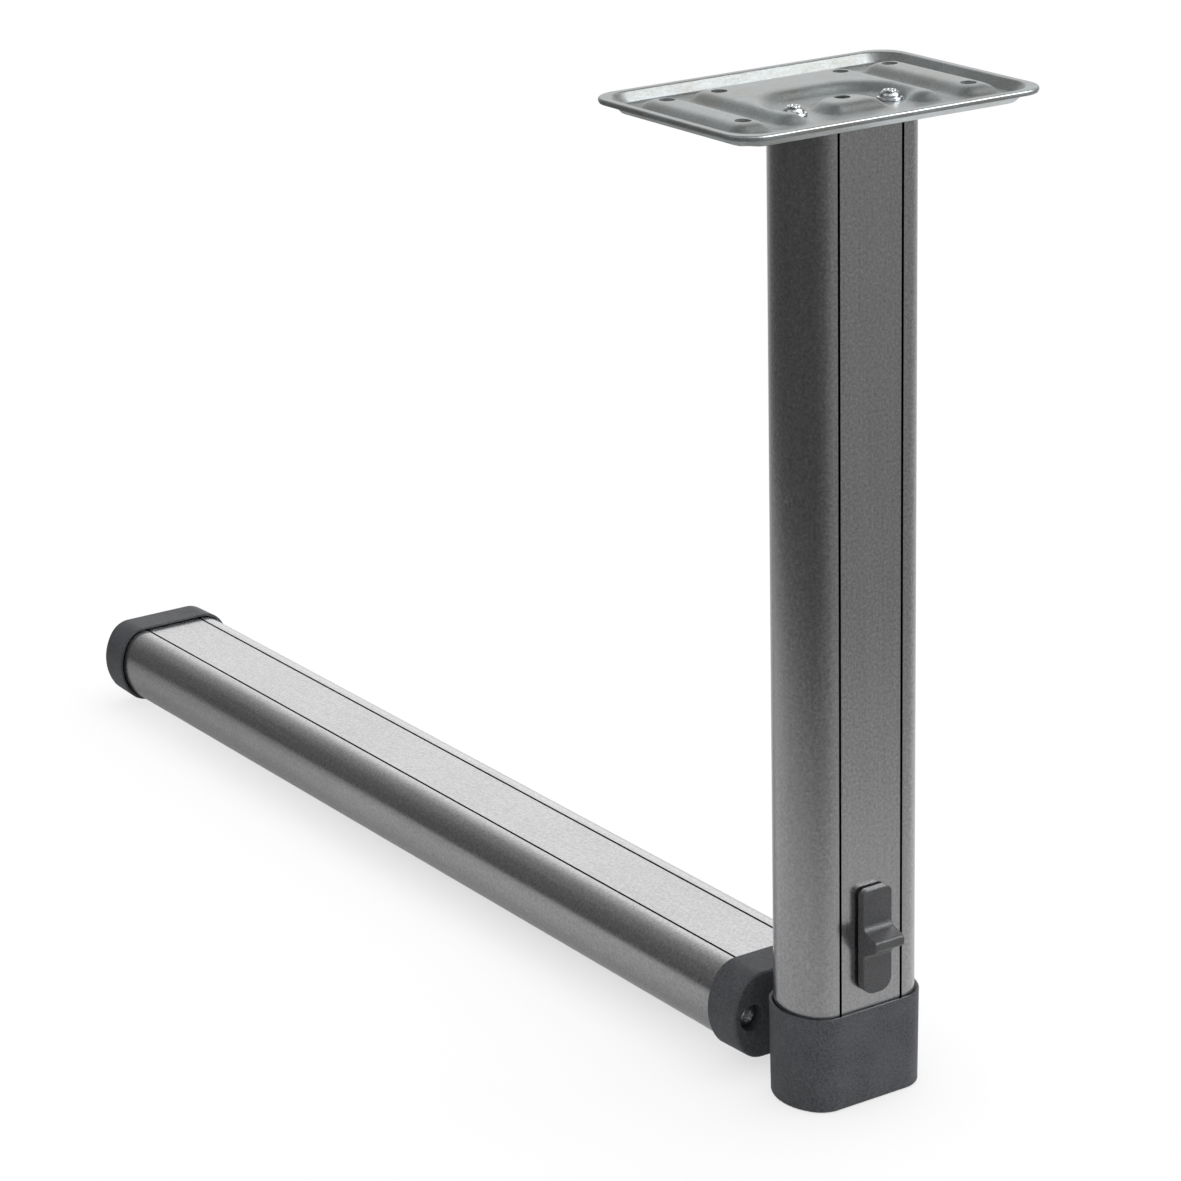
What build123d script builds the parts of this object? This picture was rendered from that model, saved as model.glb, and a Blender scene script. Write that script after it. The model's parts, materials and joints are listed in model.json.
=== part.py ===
from build123d import *
import os
from math import atan2, cos, radians, sin, sqrt, tan

# Swivel support leg: an upright oval extrusion with a pressed mounting plate on top and a
# long foot arm of the same extrusion, which swivels about the column's own axis.
# X runs along the plate's long side, Y along the foot arm, Z up, in millimetres.
# The origin is on the floor, in the middle of the column's foot.

os.makedirs("parts", exist_ok=True)

# Overall
leg_height = 423.0
arm_reach = 607.0

# Oval extrusion, shared by the column and the foot arm
section_width = 62.0
section_thickness = 36.5
corner_radius = 11.0
crown_radius = 24.0
wall = 2.2
web = 1.8
groove_x = 15.75
groove_width = 1.2
groove_depth = 1.2
port_x = 23.5
port_wall = 2.1
port_rib = 1.8

# Self-cutting screws in the extrusion's ports
screw_radius = 2.5
thread_clearance = 0.05
screw_hole_clearance = 0.35
port_grip = 24.0
flange_radius = 5.0
flange_height = 1.2
pan_radius = 4.6
pan_height = 3.8
drive_radius = 1.75
drive_lobe = 0.5
drive_depth = 1.4

# Pressed mounting plate
plate_length = 150.0
plate_depth = 105.0
plate_corner = 13.0
plate_offset = 15.0
sheet = 2.0
press_depth = 4.0
draft = 45.0
lip = 3.5
lip_round = 0.8
bend_radius = 1.4
root_radius = 1.2
shoulder_share = 0.93
pad_share = 0.53
leg_share = 0.303
channel_share = 0.1226
pad_corner = 7.0
pad_end_inset = 17.0
arch_front = 17.0
arch_back_inset = 15.5
arch_corner = 9.0
leg_blend = 5.0
dish_back = 20.0
dish_corner = 18.0
dish_clearance = 0.25
boss_width = 30.0
boss_front = 13.5
boss_back = 9.5
boss_front_corner = 6.0
boss_back_corner = 13.0
hole_edge_x = 20.0
hole_edge_y = 27.5
mid_hole_x = 30.0
plate_hole_radius = 3.25

# Moulded caps, sleeves over the ends of the extrusion
cap_proud = 1.9
cap_gap = 0.35
cap_taper = 0.5
cap_edge = 1.2
cap_bevel = 0.6
foot_cap_height = 42.5
arm_cap_length = 19.0
arm_cap_wall = 10.0
arm_floor_gap = 4.1
counterbore_radius = 5.9
counterbore_depth = 6.5

# Swivel joint in the column's foot
arm_gap = 0.6
profile_foot = 30.0
deck_height = 14.5
washer = 1.0
axial_play = 0.1
tongue_width = 24.0
tongue_thickness = 8.0
tongue_grip = 50.0
hub_radius = 15.5
hub_clearance = 0.5
stop_clearance = 0.4
bolt_radius = 4.0
bolt_clearance = 0.1
bolt_head_radius = 7.0
bolt_head_height = 5.0
bolt_head_recess = 1.0
bolt_socket = 5.0
bolt_socket_depth = 3.0
sleeve_radius = 6.0
running_clearance = 0.05
bush_radius = 7.5
upper_washer_radius = 8.3
lower_washer_radius = 14.0
plug_height = 14.0
chamber_clearance = 0.15
nut_flats = 13.0
nut_height = 6.5
core_width = 9.0
core_length = 20.0
countersink_radius = 4.6
countersink_clearance = 0.15

# Clamp of the tongue in the foot arm
insert_tail = 6.0
insert_lead = 0.5
tongue_screw_radius = 3.0
tongue_screw_head = 5.6
tongue_screw_inset = 18.0
tongue_screw_spacing = 24.0

# Slide latch on the column's front face
latch_width = 15.0
latch_height = 46.8
latch_bottom = 50.5
latch_stand_off = 1.2
latch_thickness = 3.4
latch_top_corner = 3.2
latch_foot_corner = 6.0
latch_edge = 0.5
latch_travel = 9.0
ledge_reach = 8.4
ledge_top = 29.4
ledge_brow = 26.7
ledge_chin = 22.6
ledge_base = 17.8
ledge_nose = 1.5
ledge_blend = 3.5
stem_width = 7.6
stem_height = 12.0
stem_bottom = 15.5
stem_corner = 0.8
stem_clearance = 0.2
rod_radius = 2.5
rod_orbit = 11.3
rod_guide_clearance = 0.1
rod_hub_gap = 0.4
rod_head = 6.0
rod_tip = 0.8
lock_hole_radius = 2.75
cage_base = 4.0
cage_spine = 6.5
cage_bridge = 8.0
pin_radius = 1.0
spring_length = 24.0
spring_radius = 3.9
spring_wire = 1.0
spring_turns = 7

# Heights and places that follow from the sizes above
half_thickness = section_thickness / 2
plate_height = sheet + press_depth
column_top = leg_height - plate_height
draft_run = press_depth * tan(radians(draft))
hole_x = plate_length / 2 - hole_edge_x
hole_y = plate_depth / 2 - hole_edge_y
arm_axis_z = arm_floor_gap + cap_proud + half_thickness
arm_start = section_width / 2 + cap_proud + arm_gap
arm_profile_start = arm_start + arm_cap_wall
arm_profile_end = arm_reach - arm_cap_wall
tongue_bottom = deck_height + washer
tongue_top = tongue_bottom + tongue_thickness
block_bottom = tongue_top + washer + axial_play
plug_top = profile_foot + plug_height
cage_top_inside = latch_bottom + stem_bottom + stem_height + spring_length
tongue_end = arm_profile_start + tongue_grip
chamber_width = 2 * groove_x - web
chamber_depth = section_thickness - 2 * wall
port_bore = screw_radius + thread_clearance

# Plate widths from the middle outwards: dish, leg of the arch, channel, pad
dish_half = port_x + flange_radius + dish_clearance
side_band = plate_length / 2 - lip - draft_run - dish_half
leg_width = leg_share * side_band
pad_width = pad_share * side_band
arch_half = dish_half + leg_width
pad_x = arch_half + channel_share * side_band + pad_width / 2
pad_length = plate_depth - 2 * pad_end_inset
arch_back = plate_offset + plate_depth / 2 - arch_back_inset
leg_end_radius = 0.64 * leg_width
shoulder_radius = shoulder_share * (leg_width - 2 * draft_run)

# Screw holes in the extrusion's ends
screw_hole = screw_radius + screw_hole_clearance


def oval(grow=0.0):
    """Outline of the extrusion: two flat faces, four corner arcs and two flatter crown arcs."""
    crown_x = section_width / 2 - crown_radius
    corner_y = section_thickness / 2 - corner_radius
    corner_x = crown_x + sqrt((crown_radius - corner_radius) ** 2 - corner_y**2)
    join_angle = atan2(corner_y, corner_x - crown_x)
    mid_angle = (radians(90) + join_angle) / 2
    radius = corner_radius + grow
    flat = (corner_x, half_thickness + grow)
    bend = (corner_x + radius * cos(mid_angle), corner_y + radius * sin(mid_angle))
    join = (corner_x + radius * cos(join_angle), corner_y + radius * sin(join_angle))
    crown = (section_width / 2 + grow, 0)
    right_side = (
        Line((0, flat[1]), flat)
        + ThreePointArc(flat, bend, join)
        + ThreePointArc(join, crown, (join[0], -join[1]))
        + ThreePointArc((join[0], -join[1]), (bend[0], -bend[1]), (flat[0], -flat[1]))
        + Line((flat[0], -flat[1]), (0, -flat[1]))
    )
    return make_face(right_side + mirror(right_side, about=Plane.YZ))


def extrusion_section():
    """Hollow oval with two webs under the grooves and a screw port in each side chamber."""
    section = oval() - oval(-wall)
    rib_start = groove_x
    rib_length = section_width / 2 - wall / 2 - rib_start
    for side in (-1, 1):
        section += Pos(side * groove_x, 0) * Rectangle(web, section_thickness - wall)
        section += Pos(side * (rib_start + rib_length / 2), 0) * Rectangle(rib_length, port_rib)
        section += Pos(side * port_x, 0) * Circle(port_bore + port_wall)
    for side in (-1, 1):
        section -= Pos(side * port_x, 0) * Circle(port_bore)
        for face in (-1, 1):
            section -= Pos(side * groove_x, face * half_thickness) * Rectangle(groove_width, 2 * groove_depth)
    return section


def lying(y):
    """Plane across the foot arm at a distance along it, its local X kept along X."""
    return Plane(origin=(0, y, arm_axis_z), x_dir=(1, 0, 0), z_dir=(0, 1, 0))


def cylinder_at(x, y, z, radius, height):
    """Upright cylinder standing on height z."""
    return Pos(x, y, z) * extrude(Circle(radius), height)


def ring_at(z, inner, outer, height):
    """Upright ring about the column's axis, standing on height z."""
    return Pos(0, 0, z) * extrude(Circle(outer) - Circle(inner), height)


def star_drive(radius, lobe, depth):
    """Six-lobed driver recess, cut downwards from the origin."""
    star = Circle(radius)
    for step in range(6):
        star += Rot(0, 0, 60 * step) * Pos(radius, 0) * Circle(lobe)
    return extrude(star, -depth)


def pan_screw(grip):
    """Flanged pan-head screw: seat at the origin, head upwards, shank downwards."""
    outline = make_face(
        Polyline(
            (0, -grip), (screw_radius - 0.8, -grip), (screw_radius, -grip + 2.0), (screw_radius, 0),
            (flange_radius, 0), (flange_radius, flange_height), (pan_radius, flange_height + 0.2),
        )
        + ThreePointArc(
            (pan_radius, flange_height + 0.2),
            (0.8 * pan_radius, 0.5 * (flange_height + pan_height) + 0.45),
            (0.45 * pan_radius, pan_height),
        )
        + Polyline((0.45 * pan_radius, pan_height), (0, pan_height), (0, -grip))
    )
    body = revolve(Plane.XZ * outline, Axis.Z)
    return body - Pos(0, 0, pan_height) * star_drive(drive_radius, drive_lobe, drive_depth)


def flat_screw(radius, head, grip):
    """Countersunk screw: head face at the origin, shank downwards."""
    cone = head - radius
    outline = make_face(
        Polyline(
            (0, 0), (head, 0), (head, -0.3), (radius, -0.3 - cone), (radius, -grip + 2.0),
            (radius - 0.8, -grip), (0, -grip), (0, 0),
        )
    )
    body = revolve(Plane.XZ * outline, Axis.Z)
    return body - star_drive(drive_radius, drive_lobe, drive_depth)


def flat_screw_seat(radius, head, length):
    """Clearance hole with its countersink for a countersunk screw, cut downwards."""
    cone = head - radius
    outline = make_face(
        Polyline(
            (0, 0.5), (head + 0.5, 0.5), (head, -0.3), (radius, -0.3 - cone), (radius, -length),
            (0, -length), (0, 0.5),
        )
    )
    return revolve(Plane.XZ * outline, Axis.Z)


# Mounting plate: one pressed sheet with a flared rim and raised, flat-topped bearing areas


def raised(outline):
    """Island pressed up from the tray floor: drafted sides and a rounded edge round its flat top."""
    island = Pos(0, 0, sheet) * extrude(outline, press_depth, taper=draft)
    return fillet(island.edges().group_by(Axis.Z)[-1], shoulder_radius)


def rim_form():
    """Plate outline with its rolled edge and the tray, which widens upwards to the lip."""
    inset = 2 * (lip + draft_run)
    floor_outline = RectangleRounded(plate_length - inset, plate_depth - inset, plate_corner - lip)
    form = extrude(RectangleRounded(plate_length, plate_depth, plate_corner), plate_height)
    form = fillet(form.edges().group_by(Axis.Z)[-1], lip_round)
    form -= Pos(0, 0, sheet) * extrude(floor_outline, press_depth, taper=-draft)
    lip_face = form.faces().sort_by(Axis.Z)[-1]
    return fillet(lip_face.inner_wires()[0].edges(), bend_radius)


def on_circle(centre, radius, angle):
    """Point on a circle, its angle in radians from +X."""
    return (centre[0] + radius * cos(angle), centre[1] + radius * sin(angle))


def arch_outline():
    """Horseshoe bearing area round the dish: two legs with bulbous ends, joined behind the column."""
    leg_end = (arch_half - leg_end_radius, leg_end_radius - arch_front)
    neck_x = dish_half - leg_blend
    neck_rise = sqrt((leg_end_radius + leg_blend) ** 2 - (leg_end[0] - neck_x) ** 2)
    neck = (neck_x, leg_end[1] + neck_rise)
    meeting = atan2(neck_rise, neck_x - leg_end[0])
    outer_corner = (arch_half - arch_corner, arch_back - arch_corner)
    inner_corner = (dish_half - dish_corner, dish_back - dish_corner)
    eighth = radians(45)
    right_side = (
        Line((0, arch_back), (outer_corner[0], arch_back))
        + ThreePointArc(
            (outer_corner[0], arch_back),
            on_circle(outer_corner, arch_corner, eighth),
            (arch_half, outer_corner[1]),
        )
        + Line((arch_half, outer_corner[1]), (arch_half, leg_end[1]))
        + ThreePointArc(
            (arch_half, leg_end[1]),
            on_circle(leg_end, leg_end_radius, meeting / 2 - radians(180)),
            on_circle(leg_end, leg_end_radius, meeting),
        )
        + ThreePointArc(
            on_circle(leg_end, leg_end_radius, meeting),
            on_circle(neck, leg_blend, (meeting - radians(180)) / 2),
            (dish_half, neck[1]),
        )
        + Line((dish_half, neck[1]), (dish_half, inner_corner[1]))
        + ThreePointArc(
            (dish_half, inner_corner[1]),
            on_circle(inner_corner, dish_corner, eighth),
            (inner_corner[0], dish_back),
        )
        + Line((inner_corner[0], dish_back), (0, dish_back))
    )
    outline = make_face(right_side + mirror(right_side, about=Plane.YZ))
    return Pos(0, -plate_offset) * Face(outline.face().outer_wire())


def boss_outline():
    """Raised boss over the column's middle, straight in front and round behind."""
    boss = Pos(0, (boss_back - boss_front) / 2) * Rectangle(boss_width, boss_front + boss_back)
    boss = fillet(boss.vertices().group_by(Axis.Y)[0], boss_front_corner)
    boss = fillet(boss.vertices().group_by(Axis.Y)[-1], boss_back_corner)
    return Pos(0, -plate_offset) * boss


def press_form():
    """Solid under the sheet's upper surface, from the tray floor's underside up."""
    form = rim_form()
    for side in (-1, 1):
        form += raised(Pos(side * pad_x, 0) * RectangleRounded(pad_width, pad_length, pad_corner))
    form += raised(arch_outline())
    form += raised(boss_outline())
    roots = [e for e in form.edges() if abs(e.center().Z - sheet) < 0.01]
    return fillet(roots, root_radius)


def mounting_plate():
    form = press_form()
    plate = form - Pos(0, 0, -sheet) * form
    hole = Cylinder(plate_hole_radius, 4 * plate_height)
    for side in (-1, 1):
        for row in (-1, 1):
            plate -= Pos(side * hole_x, row * hole_y) * hole
        plate -= Pos(side * mid_hole_x, hole_y) * hole
        plate -= Pos(side * port_x, -plate_offset) * Cylinder(screw_hole, 4 * plate_height)
    plate -= Pos(0, -plate_offset) * hole
    return Pos(0, plate_offset, column_top) * plate


# Column


def column_profile():
    column = Pos(0, 0, profile_foot) * extrude(extrusion_section(), column_top - profile_foot)
    slot_length = stem_height + latch_travel + 2 * stem_clearance
    slot_z = latch_bottom + stem_bottom - stem_clearance + slot_length / 2
    slot_plane = Plane(origin=(0, -half_thickness - 1, slot_z), x_dir=(1, 0, 0), z_dir=(0, 1, 0))
    slot_width = stem_width + 2 * stem_clearance
    slot = slot_plane * RectangleRounded(slot_width, slot_length, stem_corner + stem_clearance)
    return column - extrude(slot, wall + 2)


def sweep_room():
    """Room that the hub and tongue need while the arm swings from +Y round to +X."""
    reach = section_width
    edge = -(tongue_width / 2 + stop_clearance)
    room = Circle(hub_radius + hub_clearance)
    room += Pos((edge + reach) / 2, reach / 2) * Rectangle(reach - edge, reach)
    room += Pos(reach / 2, (edge + reach) / 2) * Rectangle(reach, reach - edge)
    return Pos(0, 0, deck_height) * extrude(room, block_bottom - deck_height)


def foot_cap():
    lower = oval(cap_proud - cap_taper)
    upper = Pos(0, 0, foot_cap_height) * oval(cap_proud)
    cap = loft([lower, upper])
    cap = fillet(cap.edges().group_by(Axis.Z)[0], cap_edge)
    cap -= Pos(0, 0, block_bottom) * extrude(oval(cap_gap), foot_cap_height)
    cap -= Pos(0, 0, foot_cap_height - cap_bevel) * loft(
        [oval(cap_gap), Pos(0, 0, cap_bevel) * oval(cap_gap + cap_bevel)]
    )
    cap -= sweep_room()
    for side in (-1, 1):
        core = Pos(side * port_x, 0, bolt_head_height) * RectangleRounded(core_width, core_length, 2.0)
        cap -= extrude(core, block_bottom)
    head_room = bolt_head_recess + bolt_head_height
    cap -= cylinder_at(0, 0, -1, bolt_head_radius + screw_hole_clearance, 1 + head_room)
    cap -= cylinder_at(0, 0, 0, bolt_radius + bolt_clearance, deck_height + 1)
    return cap


def pivot_block():
    flange = Pos(0, 0, block_bottom) * extrude(oval(), profile_foot - block_bottom)
    plug_width = chamber_width - 2 * chamber_clearance
    plug_depth = chamber_depth - 2 * chamber_clearance
    plug = Pos(0, 0, profile_foot) * extrude(RectangleRounded(plug_width, plug_depth, 1.0), plug_height)
    block = flange + plug
    height = plug_top - block_bottom + 2
    block -= cylinder_at(0, 0, block_bottom - 1, bolt_radius + bolt_clearance, height)
    block -= cylinder_at(0, -rod_orbit, block_bottom - 1, rod_radius + rod_guide_clearance, height)
    seat = flat_screw_seat(screw_hole, countersink_radius + countersink_clearance, height)
    for side in (-1, 1):
        block -= Pos(side * port_x, 0, block_bottom) * Rot(180, 0, 0) * seat
    return block


def swivel_tongue():
    """Flat steel tongue with the hub's eye, the two lock holes and two tapped holes."""
    shape = Circle(hub_radius) + Pos(0, tongue_end / 2) * Rectangle(tongue_width, tongue_end)
    shape -= Circle(bush_radius)
    tongue = Pos(0, 0, tongue_bottom) * extrude(shape, tongue_thickness)
    tongue = chamfer(tongue.edges().filter_by(Axis.X).group_by(Axis.Y)[-1], 1.0)
    for x, y in ((0, -rod_orbit), (rod_orbit, 0)):
        tongue -= cylinder_at(x, y, tongue_bottom - 1, lock_hole_radius, tongue_thickness + 2)
    for y in tongue_screw_places():
        tongue -= cylinder_at(0, y, tongue_bottom - 1, tongue_screw_radius + thread_clearance, tongue_thickness + 2)
    return tongue


def tongue_screw_places():
    first = arm_profile_start + tongue_screw_inset
    return [first, first + tongue_screw_spacing]


def pivot_bolt():
    """Button-headed bolt, put in from below; its head is sunk in the cap's floor."""
    head_bottom = bolt_head_recess
    shank_top = plug_top + cage_base + nut_height + 2
    dome = make_face(
        Line((0, 0), (bolt_socket, 0))
        + ThreePointArc(
            (bolt_socket, 0),
            (0.9 * bolt_head_radius, 0.4 * bolt_head_height),
            (bolt_head_radius, bolt_head_height),
        )
        + Polyline((bolt_head_radius, bolt_head_height), (0, bolt_head_height), (0, 0))
    )
    bolt = Pos(0, 0, head_bottom) * revolve(Plane.XZ * dome, Axis.Z)
    bolt += cylinder_at(0, 0, head_bottom, bolt_radius, shank_top - head_bottom)
    bolt = chamfer(bolt.edges().group_by(Axis.Z)[-1], 0.7)
    socket = Pos(0, 0, head_bottom) * RegularPolygon(bolt_socket / 2, 6, major_radius=False)
    return bolt - extrude(socket, bolt_socket_depth)


def pivot_nut():
    nut = Pos(0, 0, plug_top + cage_base) * extrude(
        RegularPolygon(nut_flats / 2, 6, major_radius=False) - Circle(bolt_radius), nut_height
    )
    return nut


def block_screw(side):
    screw = flat_screw(screw_radius, countersink_radius, profile_foot - block_bottom + port_grip)
    return Pos(side * port_x, 0, block_bottom) * Rot(180, 0, 0) * screw


def plate_screw(side):
    return Pos(side * port_x, 0, column_top + sheet) * pan_screw(sheet + port_grip)


# Foot arm


def arm_profile():
    length = arm_profile_end - arm_profile_start
    arm = extrude(lying(arm_profile_start) * extrusion_section(), length)
    for y in tongue_screw_places():
        arm -= tongue_screw_seat(y)
    return arm


def tongue_screw_seat(y):
    seat = flat_screw_seat(
        tongue_screw_radius + screw_hole_clearance, tongue_screw_head + countersink_clearance, section_thickness
    )
    underside = arm_axis_z - half_thickness
    return Pos(0, y, underside) * Rot(180, 0, 0) * seat & Pos(0, y, tongue_bottom / 2) * Box(
        section_width, section_width, tongue_bottom
    )


def tongue_channel(clearance=0.0):
    """Room for the tongue where it runs through the cap and the insert."""
    length = tongue_end - arm_start + 2
    channel = Box(tongue_width + 2 * clearance, length, tongue_thickness + 2 * clearance)
    return Pos(0, arm_start - 1 + length / 2 + clearance, tongue_bottom + tongue_thickness / 2) * channel


def arm_insert():
    """Clamping block that fills the middle chamber round the tongue."""
    start = arm_profile_start + insert_lead
    length = tongue_end + insert_tail - start
    outline = RectangleRounded(
        chamber_width - 2 * chamber_clearance, chamber_depth - 2 * chamber_clearance, 1.0
    )
    insert = extrude(lying(start) * outline, length)
    insert -= tongue_channel()
    for y in tongue_screw_places():
        insert -= tongue_screw_seat(y)
    return insert


def arm_cap(open_for_tongue):
    """Sleeve cap with a thick end wall and two counterbored screw holes, facing -Y at y = 0."""
    end = Plane(origin=(0, 0, arm_axis_z), x_dir=(1, 0, 0), z_dir=(0, 1, 0))
    rim = end.offset(arm_cap_length)
    cap = loft([end * oval(cap_proud - cap_taper), rim * oval(cap_proud)])
    cap = fillet(cap.edges().group_by(Axis.Y)[0], cap_edge)
    cap -= extrude(end.offset(arm_cap_wall) * oval(cap_gap), arm_cap_length)
    cap -= loft(
        [end.offset(arm_cap_length - cap_bevel) * oval(cap_gap), rim * oval(cap_gap + cap_bevel)]
    )
    for side in (-1, 1):
        cap -= extrude(end * Pos(side * port_x, 0) * Circle(counterbore_radius), counterbore_depth)
        cap -= extrude(end * Pos(side * port_x, 0) * Circle(screw_hole), arm_cap_wall)
    if open_for_tongue:
        cap -= Pos(0, -arm_start, 0) * tongue_channel(cap_gap)
    return cap


def arm_inner_cap():
    return Pos(0, arm_start, 0) * arm_cap(True)


def arm_outer_cap():
    return Pos(0, arm_reach, 0) * mirror(arm_cap(False), about=Plane.XZ)


def arm_cap_screw(side, outer):
    grip = arm_cap_wall - counterbore_depth + port_grip
    seat_y = arm_reach - counterbore_depth if outer else arm_start + counterbore_depth
    turn = -90 if outer else 90
    return Pos(side * port_x, seat_y, arm_axis_z) * Rot(turn, 0, 0) * pan_screw(grip)


def tongue_screw(y):
    underside = arm_axis_z - half_thickness
    grip = tongue_top - underside
    return Pos(0, y, underside) * Rot(180, 0, 0) * flat_screw(tongue_screw_radius, tongue_screw_head, grip)


# Slide latch


def latch_slider():
    """Moulded slider: face plate, hooked finger ledge and the stem through the column's wall."""
    front = -(half_thickness + latch_stand_off + latch_thickness)
    plate_outline = Pos(0, latch_height / 2) * Rectangle(latch_width, latch_height)
    plate_outline = fillet(plate_outline.vertices().group_by(Axis.Y)[-1], latch_top_corner)
    plate_outline = fillet(plate_outline.vertices().group_by(Axis.Y)[0], latch_foot_corner)
    face = Plane(origin=(0, front, latch_bottom), x_dir=(1, 0, 0), z_dir=(0, -1, 0))
    plate = extrude(face * plate_outline, -latch_thickness)
    side = Plane(origin=(-latch_width / 2, front, latch_bottom), x_dir=(0, -1, 0), z_dir=(1, 0, 0))
    hook = make_face(
        Polyline(
            (-latch_thickness / 2, -ledge_top - ledge_blend), (0, -ledge_top - ledge_blend),
            (0, -ledge_top), (ledge_reach, -ledge_brow), (ledge_reach, -ledge_chin), (0, -ledge_base),
            (0, -ledge_base + ledge_blend), (-latch_thickness / 2, -ledge_base + ledge_blend),
            (-latch_thickness / 2, -ledge_top - ledge_blend),
        )
    )
    nose = [v for v in hook.vertices() if v.X > ledge_reach - 0.01]
    hook = fillet(nose, ledge_nose)
    root = [v for v in hook.vertices() if abs(v.X) < 0.01 and -ledge_top - 0.1 < v.Y < 0.1 - ledge_base]
    hook = fillet(root, ledge_blend)
    body = plate + extrude(side * hook, latch_width)
    ahead = [e for e in body.edges() if e.bounding_box().max.Y < front + latch_thickness - 0.01]
    body = fillet([e for e in ahead if abs(e.length - latch_width) > 0.01], latch_edge)
    stem_depth = -front - latch_thickness / 2 - (rod_orbit - rod_radius - 1.2)
    stem = Pos(0, front + latch_thickness / 2 + stem_depth / 2, latch_bottom + stem_bottom + stem_height / 2)
    bar = Box(stem_width, stem_depth, stem_height)
    slider = body + stem * fillet(bar.edges().filter_by(Axis.Y), stem_corner)
    slider -= cylinder_at(0, -rod_orbit, latch_bottom, rod_radius, latch_height)
    return slider - latch_pin()


def latch_pin():
    """Dowel across the stem that ties the slider to the lock rod."""
    z = latch_bottom + stem_bottom + stem_height / 2
    return Pos(0, -rod_orbit, z) * Rot(0, 90, 0) * Cylinder(pin_radius, stem_width)


def lock_rod():
    """Straight rod that drops into the hub's lock hole."""
    bottom = tongue_top + rod_hub_gap
    top = cage_top_inside + rod_head
    rod = cylinder_at(0, -rod_orbit, bottom, rod_radius, top - bottom)
    rod = chamfer(rod.edges().group_by(Axis.Z)[0], rod_tip)
    rod = chamfer(rod.edges().group_by(Axis.Z)[-1], rod_tip / 2)
    return rod - latch_pin()


def latch_cage():
    """Moulded C-shaped frame in the middle chamber: base, back spine and top bridge."""
    width = chamber_width - 2 * chamber_clearance
    depth = chamber_depth - 2 * chamber_clearance
    top = cage_top_inside + cage_bridge
    cage = Pos(0, 0, plug_top) * extrude(RectangleRounded(width, depth, 1.0), top - plug_top)
    window = cage_top_inside - plug_top - cage_base
    opening = Box(width + 2, depth, window)
    cage -= Pos(0, -cage_spine, plug_top + cage_base + window / 2) * opening
    cage -= cylinder_at(0, 0, plug_top - 1, bolt_radius + bolt_clearance, cage_base + 2)
    cage -= cylinder_at(0, -rod_orbit, plug_top - 1, rod_radius + rod_guide_clearance, top - plug_top + 2)
    return cage


def latch_spring():
    """Compression spring round the lock rod, between the stem and the cage's bridge."""
    rise = spring_length - spring_wire
    coil = Helix(pitch=rise / spring_turns, height=rise, radius=spring_radius)
    wire = Plane(origin=coil @ 0, z_dir=coil % 0) * Circle(spring_wire / 2)
    bottom = cage_top_inside - spring_length + spring_wire / 2
    return Pos(0, -rod_orbit, bottom) * sweep(wire, path=coil)


nodes = {
    "mounting_plate": mounting_plate(),
    "column_profile": column_profile(),
    "foot_cap": foot_cap(),
    "pivot_block": pivot_block(),
    "pivot_bolt": pivot_bolt(),
    "pivot_nut": pivot_nut(),
    "pivot_sleeve": ring_at(deck_height, bolt_radius + bolt_clearance, sleeve_radius, block_bottom - deck_height),
    "lower_washer": ring_at(deck_height, sleeve_radius + running_clearance, lower_washer_radius, washer),
    "upper_washer": ring_at(block_bottom - washer, sleeve_radius + running_clearance, upper_washer_radius, washer),
    "hub_bush": ring_at(tongue_bottom, sleeve_radius + running_clearance, bush_radius, tongue_thickness),
    "swivel_tongue": swivel_tongue(),
    "arm_insert": arm_insert(),
    "arm_profile": arm_profile(),
    "arm_inner_cap": arm_inner_cap(),
    "arm_outer_cap": arm_outer_cap(),
    "latch_slider": latch_slider(),
    "lock_rod": lock_rod(),
    "latch_pin": latch_pin(),
    "latch_cage": latch_cage(),
    "latch_spring": latch_spring(),
}

for side, word in ((-1, "left"), (1, "right")):
    nodes[f"plate_screw_{word}"] = plate_screw(side)
    nodes[f"block_screw_{word}"] = block_screw(side)
    nodes[f"inner_cap_screw_{word}"] = arm_cap_screw(side, False)
    nodes[f"outer_cap_screw_{word}"] = arm_cap_screw(side, True)

for word, y in zip(("near", "far"), tongue_screw_places()):
    nodes[f"tongue_screw_{word}"] = tongue_screw(y)

for name, shape in nodes.items():
    export_step(shape, f"parts/{name}.step")
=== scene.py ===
"""Looks of a swivel support leg: an oval aluminium column under a pressed mounting plate, with a slide
latch near its foot and a long foot arm that swivels about the column.

X runs along the plate's long side, Y along the foot arm and Z up, in metres, from the middle of the foot.
"""

import json
import math

import bmesh
import bpy
import numpy as np
from bpy.props import FloatProperty, FloatVectorProperty, IntProperty, PointerProperty
from mathutils import Matrix, Vector
from mathutils.bvhtree import BVHTree

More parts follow.
